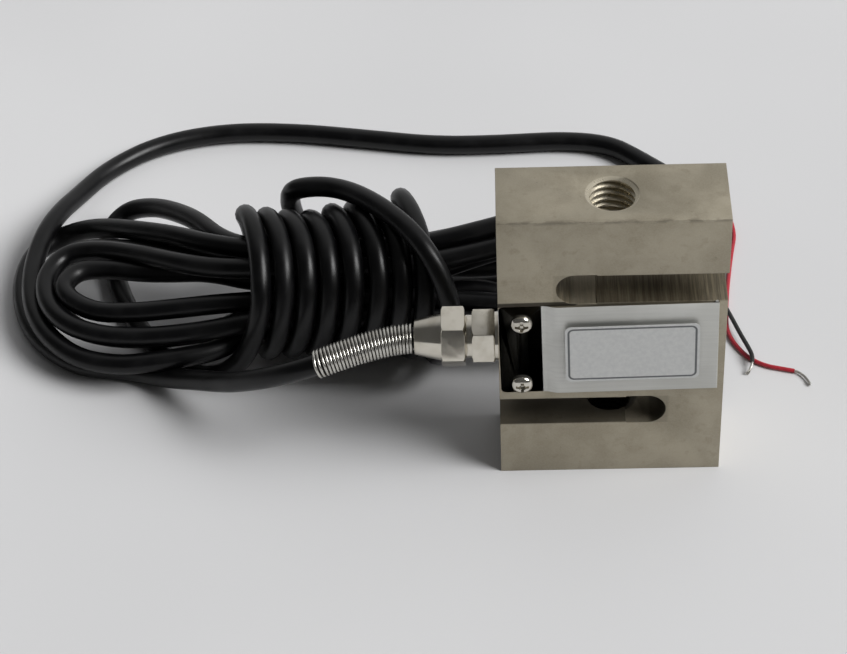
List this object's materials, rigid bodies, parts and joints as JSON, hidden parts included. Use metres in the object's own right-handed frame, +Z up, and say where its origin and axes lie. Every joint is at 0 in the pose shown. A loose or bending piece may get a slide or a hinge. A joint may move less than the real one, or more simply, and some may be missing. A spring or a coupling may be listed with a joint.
{
  "type": "s type load cell",
  "caption": "S shaped steel tension and compression load cell with threaded ends, screwed side covers, a cable gland with a bend spring, and a coiled cable with bare cores.",
  "frame": {"origin": "middle of the bar's bottom face, where the load axis leaves it", "axes": "+Z up the load axis, +X along the slots away from the gland, +Y from the labelled cover to the rear cover"},
  "size_m": [0.199, 0.1313, 0.0762],
  "materials": {
    "bar": "matt nickel plate with faint stains",
    "cover": "satin",
    "screw": "nickel plated",
    "label": "silver film with a dark border, bare of print",
    "gland": "bright nickel plate",
    "seal": "matt",
    "clamp": "natural nylon",
    "spring": "bright wire",
    "jacket": "semi gloss",
    "red_core": "semi gloss",
    "black_core": "semi gloss",
    "green_core": "semi gloss",
    "white_core": "semi gloss",
    "tinned": "tinned strands",
    "foil": "amber film with a fine foil grid",
    "board": "solder resist"
  },
  "bodies": {
    "root": {"load_block": "bar", "front_cover": "cover", "rear_cover": "cover", "front_screw_lower": "screw", "front_screw_upper": "screw", "rear_screw_lower": "screw", "rear_screw_upper": "screw", "label": "label", "gauge_upper_left": "foil", "gauge_upper_right": "foil", "gauge_lower_left": "foil", "gauge_lower_right": "foil", "terminal_board": "board", "inner_core_red": "red_core", "inner_core_black": "black_core", "inner_core_green": "green_core", "inner_core_white": "white_core", "gland_washer": "gland", "gland_body": "gland", "gland_seal": "seal", "gland_clamp": "clamp", "gland_nut": "gland", "bend_spring": "spring", "cable_in_gland": "jacket", "cable_lead": "jacket", "cable_hank": "jacket", "cable_back": "jacket", "core_red": "red_core", "core_black": "black_core", "core_green": "green_core", "core_white": "white_core", "core_tip_red": "tinned", "core_tip_black": "tinned", "core_tip_green": "tinned", "core_tip_white": "tinned"}
  },
  "joints": []
}
